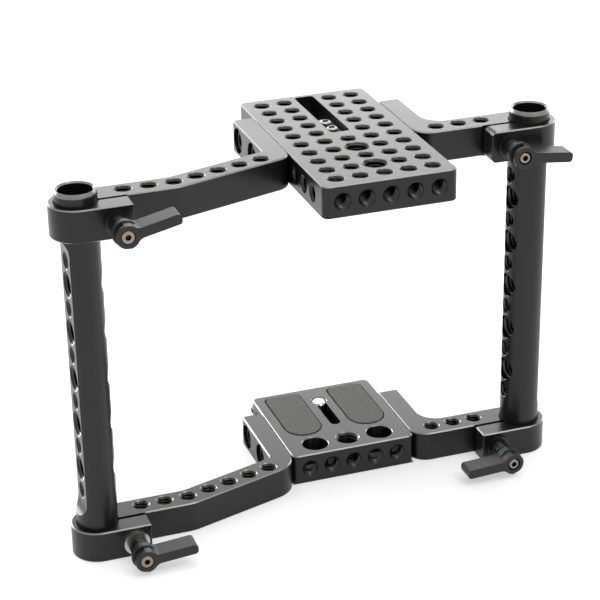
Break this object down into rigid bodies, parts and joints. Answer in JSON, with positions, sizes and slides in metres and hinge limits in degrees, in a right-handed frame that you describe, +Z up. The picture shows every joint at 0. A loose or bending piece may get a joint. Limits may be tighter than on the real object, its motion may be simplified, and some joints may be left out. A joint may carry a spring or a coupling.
{
  "type": "camera cage",
  "caption": "Camera cage: drilled top and bottom plates on side arms whose lever clamps grip upright drilled tubes, with a captive camera screw, grip pads and a sliding shoe foot.",
  "frame": {"origin": "centre of the tripod hole at the bottom plate's underside", "axes": "+Z up, +Y to the rear (the way the camera's operator looks from is +Y), +X to the right seen from the front"},
  "size_m": [0.207, 0.1046, 0.1498],
  "materials": {
    "black_anodised": "matte black anodised",
    "lever_grey": "satin dark grey",
    "bare_steel": "bare",
    "copper_steel": "satin, warm tint",
    "grip_rubber": "fine diagonal texture"
  },
  "bodies": {
    "bottom_frame": {"bottom_plate": "black_anodised", "bottom_left_arm": "black_anodised", "bottom_right_arm": "black_anodised", "bottom_arm_bolts": "bare_steel", "left_pad": "grip_rubber", "right_pad": "grip_rubber", "rear_cap_screw": "bare_steel", "bottom_left_washer": "bare_steel", "bottom_right_washer": "bare_steel"},
    "top_frame": {"top_plate": "black_anodised", "top_left_arm": "black_anodised", "top_right_arm": "black_anodised", "top_arm_bolts": "bare_steel", "top_left_washer": "lever_grey", "top_right_washer": "lever_grey"},
    "left_tube": {"left_tube": "black_anodised"},
    "right_tube": {"right_tube": "black_anodised"},
    "shoe_carriage": {"shoe_clamp_bar": "black_anodised", "shoe_foot": "black_anodised", "shoe_screws": "bare_steel"},
    "screw_washer": {"camera_screw_washer": "lever_grey"},
    "camera_screw": {"camera_screw": "bare_steel"},
    "top_left_clamp": {"top_left_clamp_screw": "lever_grey", "top_left_lever_screw": "copper_steel", "top_left_lever_spring": "bare_steel"},
    "top_left_lever": {"top_left_lever": "lever_grey"},
    "top_right_clamp": {"top_right_clamp_screw": "lever_grey", "top_right_lever_screw": "copper_steel", "top_right_lever_spring": "bare_steel"},
    "top_right_lever": {"top_right_lever": "lever_grey"},
    "bottom_left_clamp": {"bottom_left_clamp_screw": "lever_grey", "bottom_left_lever_screw": "copper_steel", "bottom_left_lever_spring": "bare_steel"},
    "bottom_left_lever": {"bottom_left_lever": "lever_grey"},
    "bottom_right_clamp": {"bottom_right_clamp_screw": "lever_grey", "bottom_right_lever_screw": "copper_steel", "bottom_right_lever_spring": "bare_steel"},
    "bottom_right_lever": {"bottom_right_lever": "lever_grey"}
  },
  "joints": [
    {"name": "top_frame_slide", "type": "slide", "parent": "bottom_frame", "child": "top_frame", "axis": [0, 0, 1], "range_m": [-0.075, 0.004]},
    {"name": "left_tube_turn", "type": "hinge", "parent": "bottom_frame", "child": "left_tube", "pos_m": [-0.1126, -0.02705, 0], "axis": [0, 0, 1], "continuous": true},
    {"name": "right_tube_turn", "type": "hinge", "parent": "bottom_frame", "child": "right_tube", "pos_m": [0.0738, -0.0082, 0], "axis": [0, 0, 1], "continuous": true},
    {"name": "shoe_slide", "type": "slide", "parent": "top_frame", "child": "shoe_carriage", "axis": [0, 1, 0], "range_m": [0, 0.0205]},
    {"name": "camera_screw_lift", "type": "slide", "parent": "bottom_frame", "child": "screw_washer", "axis": [0, 0, 1], "range_m": [0, 0.0043]},
    {"name": "camera_screw_turn", "type": "hinge", "parent": "screw_washer", "child": "camera_screw", "pos_m": [0, 0.0348, 0], "axis": [0, 0, 1], "continuous": true},
    {"name": "top_left_clamp_turn", "type": "hinge", "parent": "top_frame", "child": "top_left_clamp", "pos_m": [-0.1002, -0.03737, 0.13865], "axis": [0, -1, 0], "range_deg": [0, 360]},
    {"name": "top_left_lever_pull", "type": "slide", "parent": "top_left_clamp", "child": "top_left_lever", "axis": [0, -1, 0], "range_m": [0, 0.0024], "stiffness_N_per_m": 1000, "springref_m": -0.002, "deforming": ["top_left_lever_spring"]},
    {"name": "top_right_clamp_turn", "type": "hinge", "parent": "top_frame", "child": "top_right_clamp", "pos_m": [0.0609, -0.01852, 0.13865], "axis": [0, -1, 0], "range_deg": [0, 360]},
    {"name": "top_right_lever_pull", "type": "slide", "parent": "top_right_clamp", "child": "top_right_lever", "axis": [0, -1, 0], "range_m": [0, 0.0024], "stiffness_N_per_m": 1000, "springref_m": -0.002, "deforming": ["top_right_lever_spring"]},
    {"name": "bottom_left_clamp_turn", "type": "hinge", "parent": "bottom_frame", "child": "bottom_left_clamp", "pos_m": [-0.1002, -0.03737, 0.00635], "axis": [0, -1, 0], "range_deg": [0, 170]},
    {"name": "bottom_left_lever_pull", "type": "slide", "parent": "bottom_left_clamp", "child": "bottom_left_lever", "axis": [0, -1, 0], "range_m": [0, 0.0024], "stiffness_N_per_m": 1000, "springref_m": -0.002, "deforming": ["bottom_left_lever_spring"]},
    {"name": "bottom_right_clamp_turn", "type": "hinge", "parent": "bottom_frame", "child": "bottom_right_clamp", "pos_m": [0.0596, -0.01852, 0.00635], "axis": [0, 1, 0], "range_deg": [0, 170]},
    {"name": "bottom_right_lever_pull", "type": "slide", "parent": "bottom_right_clamp", "child": "bottom_right_lever", "axis": [0, -1, 0], "range_m": [0, 0.0024], "stiffness_N_per_m": 1000, "springref_m": -0.002, "deforming": ["bottom_right_lever_spring"]}
  ]
}
